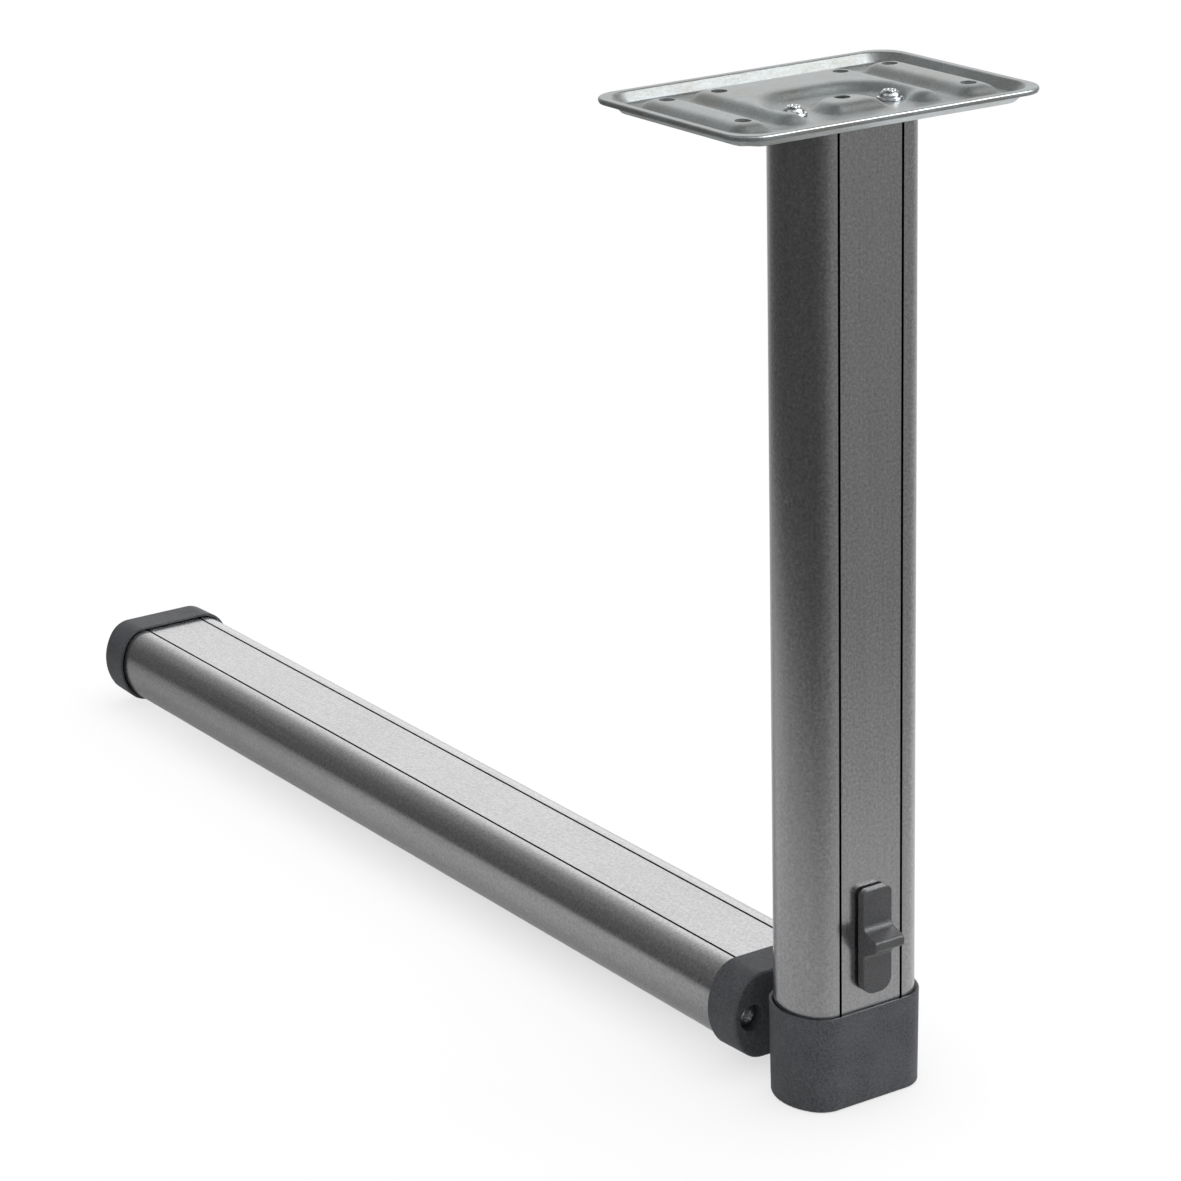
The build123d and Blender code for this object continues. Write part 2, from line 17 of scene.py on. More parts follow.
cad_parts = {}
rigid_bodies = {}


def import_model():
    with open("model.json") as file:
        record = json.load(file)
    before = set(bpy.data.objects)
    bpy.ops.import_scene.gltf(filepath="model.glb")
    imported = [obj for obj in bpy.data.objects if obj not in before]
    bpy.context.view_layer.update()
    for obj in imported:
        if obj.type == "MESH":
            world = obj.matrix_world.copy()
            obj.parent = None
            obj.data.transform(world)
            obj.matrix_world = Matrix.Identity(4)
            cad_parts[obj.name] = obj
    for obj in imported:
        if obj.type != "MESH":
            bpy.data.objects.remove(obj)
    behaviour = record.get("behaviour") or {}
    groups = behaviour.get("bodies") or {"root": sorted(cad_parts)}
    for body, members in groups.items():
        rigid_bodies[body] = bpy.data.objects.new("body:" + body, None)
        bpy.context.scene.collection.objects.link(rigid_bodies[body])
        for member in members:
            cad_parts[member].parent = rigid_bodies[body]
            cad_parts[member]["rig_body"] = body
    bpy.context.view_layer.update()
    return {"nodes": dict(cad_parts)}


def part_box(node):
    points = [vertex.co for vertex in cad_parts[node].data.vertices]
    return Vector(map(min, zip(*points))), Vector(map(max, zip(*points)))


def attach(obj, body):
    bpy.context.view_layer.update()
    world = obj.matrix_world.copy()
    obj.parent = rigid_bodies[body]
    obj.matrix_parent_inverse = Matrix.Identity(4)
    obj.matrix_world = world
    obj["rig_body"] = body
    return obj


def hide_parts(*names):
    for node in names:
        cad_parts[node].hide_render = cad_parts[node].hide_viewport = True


bl_info = {
    "name": "Swivel support leg",
    "version": (1, 0, 0),
    "blender": (4, 5, 0),
    "location": "3D View > Sidebar > Leg",
    "description": "Dresses the support leg's parts with their finishes and sets up the studio",
    "category": "Object",
}

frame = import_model()

COLUMN_BODY = "column"
ARM_BODY = "foot_arm"

# Distance under which points are joined, angles in degrees over which an edge stays sharp, and how much
# more large faces count in the normals
WELD = 1e-6
CREASE = 28.0
PRESSED_CREASE = 40.0
SCREW_CREASE = 50.0
NORMAL_WEIGHT = 90

# Pressed plate: spacing of its measured heights, start of the measuring rays over it, and a change of height
# that makes no difference
PRESS_GRID = 0.0005
RAY_START = 0.01
NO_CHANGE = 0.00001

# Pressed plate: extent of the average in units of the softness, stretches looked at along an edge, and most
# rounds of splitting
BELL_EXTENT = 3.0
EDGE_STRETCHES = 6
SPLIT_ROUNDS = 9

# Screw thread: points in one turn, and points of its ridge's outline
THREAD_POINTS = 20
RIDGE_POINTS = 4

# Colours that the sidebar doesn't list
# Painted shade: near black laid on the walls and floor of the extrusions' grooves
GROOVE_SHADOW = (0.012, 0.012, 0.013)
GROUND_STEEL = (0.66, 0.66, 0.66)
SPRING_WIRE = (0.42, 0.42, 0.43)
TONGUE_PLATING = (0.55, 0.57, 0.59)
CASTING = (0.58, 0.58, 0.59)
INNER_PLASTIC = (0.045, 0.045, 0.048)
WHITE = (1.0, 1.0, 1.0)

# Soft panels that only glossy surfaces see: direction in which they hang, tightness and strength
PANELS = {
    "back": ((0.57, 0.78, 0.24), 7.5, 1.03),
    "high_back": ((-0.10, 0.80, 0.60), 6.0, 0.12),
    "high_right": ((0.54, -0.60, 0.59), 18.0, 10.5),
    "right": ((0.97, 0.10, -0.15), 6.0, 0.15),
    "under": ((0.50, 0.25, -0.83), 9.0, 1.70),
    "low_front": ((0.525, -0.787, -0.323), 5.0, 0.125),
    "high_front": ((-0.30, -0.70, 0.65), 12.0, 1.20),
    "high_left": ((-0.80, 0.10, 0.60), 14.0, 0.80),
}

# Level of the room between the panels
DIM_ROOM = 0.05


# Sizes and colours


def metres(name, description, default, **limits):
    """A length."""
    return FloatProperty(name=name, description=description, default=default, unit="LENGTH", **limits)


def degrees(name, description, default):
    """An angle."""
    return FloatProperty(name=name, description=description, default=math.radians(default), subtype="ANGLE")


def tint(name, description, default):
    """A colour in linear light."""
    return FloatVectorProperty(
        name=name, description=description, default=default, size=3, min=0.0, max=1.0, subtype="COLOR"
    )


class LegFinishes(bpy.types.PropertyGroup):
    """Colours and surface textures of the leg's parts."""

    aluminium: tint("Aluminium", "Anodised surface of the column and the foot arm", (0.66, 0.66, 0.67))
    zinc: tint("Zinc", "Plated surface of the mounting plate", (0.43, 0.45, 0.455))
    plated_steel: tint(
        "Plated steel", "Bright plating of the screws, the nut and the pivot bolt", (0.66, 0.68, 0.70)
    )
    moulding: tint("Caps", "Dark grey plastic of the end caps", (0.072, 0.075, 0.082))
    latch: tint("Latch", "Grey plastic of the slide latch", (0.070, 0.071, 0.074))
    speckle_size: metres(
        "Speckle", "Size of the etched speckle on the aluminium", 0.0013, min=0.0001, max=0.01
    )
    grain_size: metres(
        "Plastic grain", "Size of the spark-eroded grain on the mouldings", 0.0010, min=0.0001, max=0.01
    )
    latch_grain: metres("Latch grain", "Size of the finer grain on the latch", 0.0006)
    groove_place: metres("Groove place", "Distance of each groove from the middle", 0.01575)
    groove_width: metres("Groove width", "Width of the extrusion's grooves", 0.0012)


class LegPlate(bpy.types.PropertyGroup):
    """How the mounting plate is pressed."""

    softness: metres("Softness", "How far the die rounds the raised areas' walls", 0.0019)
    sheet: metres("Sheet", "Thickness of the sheet", 0.002)
    edge: metres("Edge", "Thickness to which the lip thins at its edge", 0.0014)
    rim: metres("Rim", "Width of the lip and its wall, which stay crisp", 0.0082)
    corner: metres("Corner", "Radius of the plate's corners", 0.013)
    rim_blend: metres("Rim blend", "Width over which the rim turns into the rounded part", 0.0025)
    seat: metres("Screw seat", "Radius round each screw that stays flat", 0.0055)
    seat_blend: metres("Seat blend", "Width over which a screw's seat turns into the rounded part", 0.002)
    edge_band: metres("Edge band", "Width along the lip's edge that counts as the edge", 0.0003)
    mesh_step: metres("Mesh step", "Longest edge on the rounded walls", 0.0016)


class LegScrews(bpy.types.PropertyGroup):
    """Sizes of the flanged pan-head screws in the extrusion's ends."""

    flange_radius: metres("Flange radius", "Outer radius of the screw's flange", 0.0053)
    flange_height: metres("Flange height", "Height of the flange's edge", 0.0012)
    pan_radius: metres("Head radius", "Radius of the domed head over the flange", 0.0042)
    head_height: metres("Head height", "Height of the head over its seat", 0.0038)
    drive_radius: metres("Drive radius", "Middle radius of the six-lobed recess", 0.0018)
    drive_depth: metres("Drive depth", "Depth of the six-lobed recess", 0.0015)
    core_radius: metres("Core radius", "Radius of the shank between its threads", 0.0021)
    thread_radius: metres("Thread radius", "Outer radius of the thread", 0.0025)
    thread_pitch: metres("Thread pitch", "Rise of the thread in one turn", 0.0016)
    thread_start: metres("Thread start", "Distance of the thread under the seat", 0.001)
    thread_end: metres("Thread end", "Shank left plain in all, at its two ends", 0.004)
    rounding: metres("Rounding", "Bevel of the flange's edges", 0.0002)
    tip: metres("Tip", "Length of the pointed tip", 0.0020)
    steps: IntProperty(
        name="Steps", description="Faces round the head", default=96, min=24, max=192, subtype="UNSIGNED"
    )


class LegStage(bpy.types.PropertyGroup):
    """Camera, floor and light."""

    azimuth: degrees("Azimuth", "Camera's turn about the column, from straight in front", -33.6915)
    elevation: degrees("Elevation", "Camera's height angle", 18.8445)
    roll: degrees("Roll", "Camera's lean", -1.3628)
    lens: FloatProperty(name="Lens", description="Focal length", default=120.975, unit="CAMERA")
    aim: FloatVectorProperty(
        name="Aim",
        description="Camera's offset across, up and away from the column's foot",
        default=(0.1072892, -0.2084151, -1.6784487),
        size=3,
        subtype="TRANSLATION",
    )
    floor_size: FloatVectorProperty(
        name="Floor",
        description="Half width and half length over which the pale floor fades out",
        default=(0.80, 0.95),
        size=2,
        subtype="XYZ",
    )
    floor_middle: metres("Floor middle", "Place of the floor's middle along the arm", 0.22)
    floor_drop: metres("Floor drop", "How far the floor lies under the foot", 0.0002)
    floor_lift: FloatProperty(
        name="Floor lift", description="How much the floor is brightened for the camera", default=0.30
    )
    floor_cover: FloatProperty(
        name="Floor cover",
        description="How solid the floor is under the leg",
        default=0.55,
        min=0.0,
        max=1.0,
    )
    floor_colour: tint("Floor colour", "Pale floor", (0.86, 0.86, 0.86))
    ambient: FloatProperty(
        name="Ambient",
        description="Level of the light that matt surfaces get from all round",
        default=0.72,
        min=0.0,
        max=2.0,
    )


# Nodes


class Finish:
    """A node tree being built, with one method that adds any node."""

    def __init__(self, owner):
        owner.use_nodes = True
        self.owner = owner
        self.tree = owner.node_tree
        self.tree.nodes.clear()

    def node(self, kind, settings=None, sockets=None):
        """Adds a node: its settings first, then a value or a link for each named or numbered socket."""
        node = self.tree.nodes.new(kind)
        for name, value in (settings or {}).items():
            setattr(node, name, value)
        for key, value in (sockets or {}).items():
            if isinstance(value, Reading):
                value = value.socket
            if isinstance(value, bpy.types.NodeSocket):
                self.tree.links.new(value, node.inputs[key])
            elif node.inputs[key].type == "RGBA" and len(value) == 3:
                node.inputs[key].default_value = (*value, 1.0)
            else:
                node.inputs[key].default_value = value
        return node

    def reading(self, kind, output, settings=None, sockets=None):
        """A node's number output, ready for arithmetic."""
        return Reading(self, self.node(kind, settings, sockets).outputs[output])

    def blend(self, factor, first, second):
        """Colour between two others."""
        mix = self.node("ShaderNodeMix", {"data_type": "RGBA"}, {0: factor, 6: first, 7: second})
        return mix.outputs[2]

    def place(self):
        """Object coordinates, in metres."""
        return self.node("ShaderNodeTexCoord").outputs["Object"]

    def stretched(self, scale):
        """Object coordinates stretched by a factor along each axis."""
        mapping = self.node("ShaderNodeMapping", sockets={"Vector": self.place(), "Scale": scale})
        return mapping.outputs["Vector"]

    def noise(self, vector, size, detail, roughness=0.55):
        """Noise whose features are about one size across, from 0 to 1."""
        sockets = {"Vector": vector, "Scale": 1 / size, "Detail": detail, "Roughness": roughness}
        return self.reading("ShaderNodeTexNoise", "Fac", sockets=sockets)

    def relief(self, height, depth):
        """Normal of a surface with this relief."""
        sockets = {"Height": height, "Strength": 1.0, "Distance": depth}
        return self.node("ShaderNodeBump", sockets=sockets).outputs["Normal"]


class Reading:
    """A number that varies over a surface. Arithmetic on it adds Math nodes."""

    def __init__(self, finish, socket):
        self.finish = finish
        self.socket = socket

    def maths(self, operation, *values, clamp=False):
        sockets = dict(enumerate(values))
        node = self.finish.node("ShaderNodeMath", {"operation": operation, "use_clamp": clamp}, sockets)
        return Reading(self.finish, node.outputs[0])

    def __add__(self, other):
        return self.maths("ADD", self, other)

    __radd__ = __add__

    def __sub__(self, other):
        return self.maths("SUBTRACT", self, other)

    def __rsub__(self, other):
        return self.maths("SUBTRACT", other, self)

    def __mul__(self, other):
        return self.maths("MULTIPLY", self, other)

    def __truediv__(self, other):
        return self.maths("DIVIDE", self, other)

    def __rpow__(self, other):
        return self.maths("POWER", other, self)

    def __abs__(self):
        return self.maths("ABSOLUTE", self)

    def under(self, limit):
        """1 where the number is smaller than a limit, 0 elsewhere."""
        return self.maths("LESS_THAN", self, limit)

    def clamped(self):
        return self.maths("ADD", self, 0.0, clamp=True)

    def ramp(self, low, high):
        """0 under low, 1 over high."""
        return ((self - low) / (high - low)).clamped()


def shaded(finish, colours, tone, roughness, metallic, normal, gloss=0.5, painted_shade=None):
    """Finishes a material whose colour runs between two, with its roughness, relief and places of painted
    shade.
    """
    base = finish.blend(tone, *colours)
    # Painted shade: the masked places are blended towards near black
    if painted_shade is not None:
        base = finish.blend(painted_shade, base, GROOVE_SHADOW)
    sockets = {
        "Base Color": base,
        "Roughness": roughness,
        "Metallic": metallic,
        "Normal": normal,
        "Specular IOR Level": gloss,
    }
    surface = finish.node("ShaderNodeBsdfPrincipled", sockets=sockets)
    finish.node("ShaderNodeOutputMaterial", sockets={"Surface": surface.outputs["BSDF"]})
    return finish.owner


def scaled(colour, share):
    """Colour made darker or brighter, up to white."""
    return tuple(min(1.0, channel * share) for channel in colour)


def groove_shade_mask(finish, place, node, depth_axis, look, slack=0.00005, skin=0.00008):
    """1 on the walls and floor of the two grooves in an extrusion's flat faces, where shade is painted, 0
    elsewhere.
    """
    low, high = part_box(node)
    middle = (low[depth_axis] + high[depth_axis]) / 2
    flat = (high[depth_axis] - low[depth_axis]) / 2
    parts = finish.node("ShaderNodeSeparateXYZ", sockets={0: place})
    across = Reading(finish, parts.outputs[0])
    depth = Reading(finish, parts.outputs[depth_axis]) - middle
    groove = abs(abs(across) - look.groove_place).under(look.groove_width / 2 + slack)
    return groove * abs(depth).under(flat - skin)


def satin_aluminium(node, along, depth_axis, look):
    """Etched and anodised extrusion: fine speckle, faint die lines along its length and painted shade that
    turns the grooves black.
    """
    finish = Finish(bpy.data.materials.new(node + "_aluminium"))
    place = finish.place()
    speckle = finish.noise(place, size=look.speckle_size, detail=2.0, roughness=0.7)
    cloud = finish.noise(place, size=40 * look.speckle_size, detail=2.0)
    stretch = [1.0, 1.0, 1.0]
    stretch[along] = 0.01
    lines = finish.noise(finish.stretched(stretch), size=0.0008, detail=2.0, roughness=0.6)
    return shaded(
        finish,
        colours=(scaled(look.aluminium, 0.74), scaled(look.aluminium, 1.24)),
        tone=(speckle * 0.8 + lines * 0.2 + cloud * 0.1 - 0.05).ramp(low=0.3, high=0.75),
        roughness=0.17 + speckle * 0.10,
        metallic=1.0,
        normal=finish.relief(speckle * 0.8 + lines * 0.4, depth=0.00002),
        # painted shade in the grooves
        painted_shade=groove_shade_mask(finish, place, node, depth_axis, look),
    )


def zinc_plating(name, colour):
    """Plated pressed sheet: clouded tone between warm and cool, fine rolling texture and soft scuffs."""
    finish = Finish(bpy.data.materials.new(name))
    place = finish.place()
    cloud = finish.noise(place, size=0.022, detail=4.0, roughness=0.6)
    grain = finish.noise(place, size=0.0011, detail=3.0, roughness=0.65)
    rolled = finish.noise(finish.stretched((0.15, 1.0, 1.0)), size=0.0009, detail=2.0, roughness=0.6)
    warm = [channel * share for channel, share in zip(colour, (0.82, 0.78, 0.72))]
    cool = [channel * share for channel, share in zip(colour, (1.12, 1.18, 1.22))]
    return shaded(
        finish,
        colours=(warm, cool),
        tone=(cloud * 0.45 + grain * 0.45 + rolled * 0.25 - 0.07).ramp(low=0.38, high=0.66),
        roughness=0.25 + grain * 0.12 + cloud * 0.10,
        metallic=0.84,
        normal=finish.relief(grain * 0.7 + cloud * 1.2, depth=0.00005),
    )


def bright_metal(name, colour, roughness, grain_size=0.0007):
    """Turned, ground or drawn metal with a fine even grain."""
    finish = Finish(bpy.data.materials.new(name))
    grain = finish.noise(finish.place(), size=grain_size, detail=3.0, roughness=0.6)
    return shaded(
        finish,
        colours=(scaled(colour, 0.9), scaled(colour, 1.08)),
        tone=grain.ramp(low=0.3, high=0.7),
        roughness=roughness - 0.04 + grain * 0.08,
        metallic=1.0,
        normal=finish.relief(grain, depth=0.00001),
    )


def cast_metal(name, colour):
    """Die-cast metal, a little grainy and dull."""
    finish = Finish(bpy.data.materials.new(name))
    place = finish.place()
    skin = finish.noise(place, size=0.0016, detail=4.0, roughness=0.65)
    cloud = finish.noise(place, size=0.012, detail=2.0)
    return shaded(
        finish,
        colours=(scaled(colour, 0.8), scaled(colour, 1.05)),
        tone=(skin * 0.5 + cloud * 0.5).ramp(low=0.3, high=0.7),
        roughness=0.42 + skin * 0.15,
        metallic=1.0,
        normal=finish.relief(skin, depth=0.00008),
    )


def grained_plastic(name, colour, grain_size, roughness=0.46, gloss=0.5):
    """Moulded plastic with a spark-eroded grain."""
    finish = Finish(bpy.data.materials.new(name))
    place = finish.place()
    grain = finish.noise(place, size=grain_size, detail=3.0, roughness=0.7)
    cloud = finish.noise(place, size=0.018, detail=2.0)
    return shaded(
        finish,
        colours=(scaled(colour, 0.50), scaled(colour, 1.55)),
        tone=(grain * 0.75 + cloud * 0.25).ramp(low=0.32, high=0.70),
        roughness=roughness - 0.06 + grain * 0.12,
        metallic=0.0,
        normal=finish.relief(grain, depth=0.00020),
        gloss=gloss,
    )


# Pieces


def finished_copy(node, material, crease=CREASE, reshape=None):
    """Copy of a part with its triangles joined, smooth faces between creases, and its finish."""
    source = frame["nodes"][node]
    shape = bmesh.new()
    shape.from_mesh(source.data)
    bmesh.ops.remove_doubles(shape, verts=shape.verts, dist=WELD)
    if reshape:
        reshape(shape)
    limit = math.radians(crease)
    for edge in shape.edges:
        edge.smooth = len(edge.link_faces) == 2 and edge.calc_face_angle(0.0) < limit
    for face in shape.faces:
        face.smooth = True
        face.material_index = 0
    mesh = bpy.data.meshes.new(node + "_shape")
    shape.to_mesh(mesh)
    shape.free()
    mesh.materials.append(material)
    piece = bpy.data.objects.new(node + "_finish", mesh)
    bpy.context.scene.collection.objects.link(piece)
    weighted = piece.modifiers.new("even_normals", "WEIGHTED_NORMAL")
    weighted.keep_sharp = True
    weighted.weight = NORMAL_WEIGHT
    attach(piece, source["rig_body"])
    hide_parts(node)


def paint(node, material):
    """Gives a part that stays as it is its finish."""
    mesh = frame["nodes"][node].data
    mesh.materials.clear()
    mesh.materials.append(material)
    for face in mesh.polygons:
        face.material_index = 0


class LEG_OT_profiles(bpy.types.Operator):
    """Finish the column's and the foot arm's extrusions"""

    bl_idname = "leg.profiles"
    bl_label = "Extrusions"

    def execute(self, context):
        look = context.scene.leg_finishes
        for node, along, depth_axis in (("column_profile", 2, 1), ("arm_profile", 1, 2)):
            finished_copy(node, satin_aluminium(node, along, depth_axis, look))
        return {"FINISHED"}


class Pressing:
    """Heights of the pressed sheet's upper side over a fine grid, as made and as a die rounds them."""

    def __init__(self, shape, sizes):
        self.sizes = sizes
        self.low, self.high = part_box("mounting_plate")
        self.screws = []
        for side in ("left", "right"):
            low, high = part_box("plate_screw_" + side)
            self.screws.append((low + high) / 2)
        heights, sheet = self.measured(BVHTree.FromBMesh(shape))
        self.made = self.averaged(heights, sheet, PRESS_GRID)
        self.soft = self.averaged(heights, sheet, sizes.softness)
        self.moved = np.zeros(self.made.shape)
        for (column, row), change in np.ndenumerate(self.soft - self.made):
            if abs(change) > NO_CHANGE:
                place = self.low + Vector((column * PRESS_GRID, row * PRESS_GRID, 0.0))
                self.moved[column, row] = change * self.share(place)

    def measured(self, tree):
        """Rays straight down: the height where each meets the sheet, and 1 where one does."""
        counts = [int((self.high[axis] - self.low[axis]) / PRESS_GRID) + 1 for axis in range(2)]
        heights = np.zeros(counts)
        sheet = np.zeros(counts)
        down = Vector((0.0, 0.0, -1.0))
        for column in range(counts[0]):
            for row in range(counts[1]):
                over = Vector((column * PRESS_GRID, row * PRESS_GRID, self.high.z - self.low.z + RAY_START))
                place = tree.ray_cast(self.low + over, down)[0]
                if place is not None:
                    heights[column, row] = place.z
                    sheet[column, row] = 1.0
        return heights, sheet

    def averaged(self, heights, sheet, reach):
        """Bell-shaped average of the heights, over the sheet only."""
        steps = int(BELL_EXTENT * reach / PRESS_GRID)
        bell = [math.exp(-0.5 * (step * PRESS_GRID / reach) ** 2) for step in range(-steps, steps + 1)]
        total = heights * sheet
        share = sheet
        for axis in range(2):
            total = np.apply_along_axis(np.convolve, axis, total, bell, mode="same")
            share = np.apply_along_axis(np.convolve, axis, share, bell, mode="same")
        return total / np.maximum(share, 1e-6)

    def sampled(self, grid, place):
        """Value of a grid at a point, between its four nearest places."""
        across = min(max((place.x - self.low.x) / PRESS_GRID, 0.0), grid.shape[0] - 1.001)
        along = min(max((place.y - self.low.y) / PRESS_GRID, 0.0), grid.shape[1] - 1.001)
        column = int(across)
        row = int(along)
        right = across - column
        back = along - row
        near = grid[column, row] * (1.0 - right) + grid[column + 1, row] * right
        far = grid[column, row + 1] * (1.0 - right) + grid[column + 1, row + 1] * right
        return near * (1.0 - back) + far * back

    def inset(self, place):
        """Distance from the plate's rounded outline inwards."""
        middle = (self.low + self.high) / 2
        corner = self.sizes.corner
        across = abs(place.x - middle.x) - (self.high.x - middle.x) + corner
        along = abs(place.y - middle.y) - (self.high.y - middle.y) + corner
        outside = math.hypot(max(across, 0.0), max(along, 0.0))
        return corner - outside - min(max(across, along), 0.0)

    def share(self, place):
        """1 where the sheet takes its rounded height, 0 on the rim and round the screws."""
        share = eased((self.inset(place) - self.sizes.rim) / self.sizes.rim_blend)
        for screw in self.screws:
            reach = math.hypot(place.x - screw.x, place.y - screw.y)
            share *= eased((reach - self.sizes.seat) / self.sizes.seat_blend)
        return share

    def bends(self, first, second):
        """Whether a straight edge would miss the rounded height anywhere along it."""
        shares = [step / EDGE_STRETCHES for step in range(EDGE_STRETCHES + 1)]
        moves = [self.sampled(self.moved, first.lerp(second, share)) for share in shares]
        straight = [moves[0] + (moves[-1] - moves[0]) * share for share in shares]
        return any(abs(move - line) > NO_CHANGE for move, line in zip(moves, straight))

    def divide(self, shape):
        """Splits long edges where the rounded height bends."""
        step = self.sizes.mesh_step
        for _ in range(SPLIT_ROUNDS):
            long_edges = []
            for edge in shape.edges:
                first, second = (vertex.co for vertex in edge.verts)
                if (second - first).length > step and self.bends(first, second):
                    long_edges.append(edge)
            if not long_edges:
                break
            bmesh.ops.subdivide_edges(shape, edges=long_edges, cuts=1)
            bmesh.ops.triangulate(shape, faces=[face for face in shape.faces if len(face.verts) > 3])

    def press(self, shape):
        """Moves both sides of the sheet to the rounded heights, and thins the lip's edge."""
        self.divide(shape)
        sheet = self.sizes.sheet
        lip_underside = self.high.z - 0.9 * sheet
        for vertex in shape.verts:
            place = vertex.co
            under = place.z < self.sampled(self.made, place) - sheet / 2
            upper = place.z + (sheet if under else 0.0)
            share = self.share(place)
            if share > 0.0:
                place.z += share * (self.sampled(self.soft, place) - upper)
            elif self.inset(place) < self.sizes.edge_band and place.z < lip_underside:
                place.z = self.high.z - self.sizes.edge


def eased(value):
    """0 under 0, 1 over 1, and smooth between."""
    value = min(max(value, 0.0), 1.0)
    return value * value * (3.0 - 2.0 * value)


class LEG_OT_plate(bpy.types.Operator):
    """Round the pressed mounting plate's walls and finish it"""

    bl_idname = "leg.plate"
    bl_label = "Mounting plate"

    def execute(self, context):
        look = context.scene.leg_finishes
        sizes = context.scene.leg_plate

        def pressed(shape):
            Pressing(shape, sizes).press(shape)

        finished_copy("mounting_plate", zinc_plating("plate_zinc", look.zinc), PRESSED_CREASE, pressed)
        return {"FINISHED"}


class LEG_OT_caps(bpy.types.Operator):
    """Finish the moulded end caps"""

    bl_idname = "leg.caps"
    bl_label = "End caps"

    def execute(self, context):
        look = context.scene.leg_finishes
        plastic = grained_plastic("cap_plastic", look.moulding, look.grain_size, gloss=0.35)
        for node in ("foot_cap", "arm_inner_cap", "arm_outer_cap"):
            finished_copy(node, plastic)
        return {"FINISHED"}


class LEG_OT_latch(bpy.types.Operator):
    """Finish the slide latch and what it moves"""

    bl_idname = "leg.latch"
    bl_label = "Slide latch"

    def execute(self, context):
        look = context.scene.leg_finishes
        plastic = grained_plastic("latch_plastic", look.latch, look.latch_grain, roughness=0.24)
        finished_copy("latch_slider", plastic)
        ground = bright_metal("ground_steel", GROUND_STEEL, roughness=0.22)
        for node in ("lock_rod", "latch_pin", "pivot_sleeve"):
            paint(node, ground)
        paint("latch_spring", bright_metal("spring_wire", SPRING_WIRE, roughness=0.3))
        return {"FINISHED"}


class LEG_OT_swivel(bpy.types.Operator):
    """Finish the swivel joint's inner parts"""

    bl_idname = "leg.swivel"
    bl_label = "Swivel joint"

    def execute(self, context):
        look = context.scene.leg_finishes
        casting = cast_metal("casting", CASTING)
        inner = grained_plastic("inner_plastic", INNER_PLASTIC, look.grain_size, roughness=0.5)
        plated = bright_metal("plated_bolt", look.plated_steel, roughness=0.24)
        groups = (
            (casting, ("pivot_block", "arm_insert")),
            (inner, ("latch_cage", "hub_bush", "lower_washer", "upper_washer")),
            (plated, ("pivot_bolt", "pivot_nut", "block_screw_left", "block_screw_right")),
            (plated, ("tongue_screw_near", "tongue_screw_far")),
        )
        for material, nodes in groups:
            for node in nodes:
                paint(node, material)
        tongue = bright_metal("tongue_plating", TONGUE_PLATING, roughness=0.3, grain_size=0.001)
        finished_copy("swivel_tongue", tongue)
        return {"FINISHED"}


# Flanged screws: one turned body, a thread that follows its shank, and a copy on each seat


def turned_screw(sizes, length):
    """Closed screw body about Z, its seat at the origin and its head upwards.

    Each row is a ring: its radius, the depth of its six lobes and its height.
    """
    head = sizes.head_height
    flange = sizes.flange_radius
    rim = sizes.flange_height
    pan = sizes.pan_radius
    core = sizes.core_radius
    drive = sizes.drive_radius
    bevel = sizes.rounding
    tip = sizes.tip
    lobe = 0.28 * drive
    lobes = 6
    dome_rows = 9
    dome_fullness = 0.62
    recess_rim = 1.5 * drive
    rows = [
        (0.25 * core, 0.0, -length),
        (0.85 * core, 0.0, 0.6 * tip - length),
        (core, 0.0, tip - length),
        (core, 0.0, -3.0 * bevel),
        (core + 1.5 * bevel, 0.0, 0.0),
        (flange - bevel, 0.0, 0.0),
        (flange, 0.0, bevel),
        (flange, 0.0, rim - bevel),
        (flange - bevel, 0.0, rim),
    ]
    for step in range(dome_rows):
        turn = math.radians(90 * step / dome_rows)
        rows.append((pan * math.cos(turn) ** dome_fullness, 0.0, rim + (head - rim) * math.sin(turn)))
    rows = [row for row in rows if row[0] > recess_rim or row[2] <= rim]
    rows += [
        (1.45 * drive, 0.35 * lobe, head - 0.1 * bevel),
        (drive + 0.75 * bevel, lobe, head),
        (drive, lobe, head - 0.6 * bevel),
        (0.93 * drive, lobe, head - sizes.drive_depth),
        (0.4 * drive, 0.0, head - sizes.drive_depth),
    ]
    shape = bmesh.new()
    rings = []
    for radius, wave, height in rows:
        ring = []
        for step in range(sizes.steps):
            turn = 2 * math.pi * step / sizes.steps
            reach = radius + wave * math.cos(lobes * turn)
            ring.append(shape.verts.new((reach * math.cos(turn), reach * math.sin(turn), height)))
        rings.append(ring)
    for lower, upper in zip(rings, rings[1:]):
        for step in range(sizes.steps):
            after = (step + 1) % sizes.steps
            shape.faces.new((lower[step], lower[after], upper[after], upper[step]))
    shape.faces.new(list(reversed(rings[0])))
    shape.faces.new(rings[-1])
    bmesh.ops.recalc_face_normals(shape, faces=shape.faces)
    for face in shape.faces:
        face.smooth = len(face.verts) == 4
    mesh = bpy.data.meshes.new("turned_screw")
    shape.to_mesh(mesh)
    shape.free()
    mesh.set_sharp_from_angle(angle=math.radians(SCREW_CREASE))
    body = bpy.data.objects.new("turned_screw", mesh)
    bpy.context.scene.collection.objects.link(body)
    return body


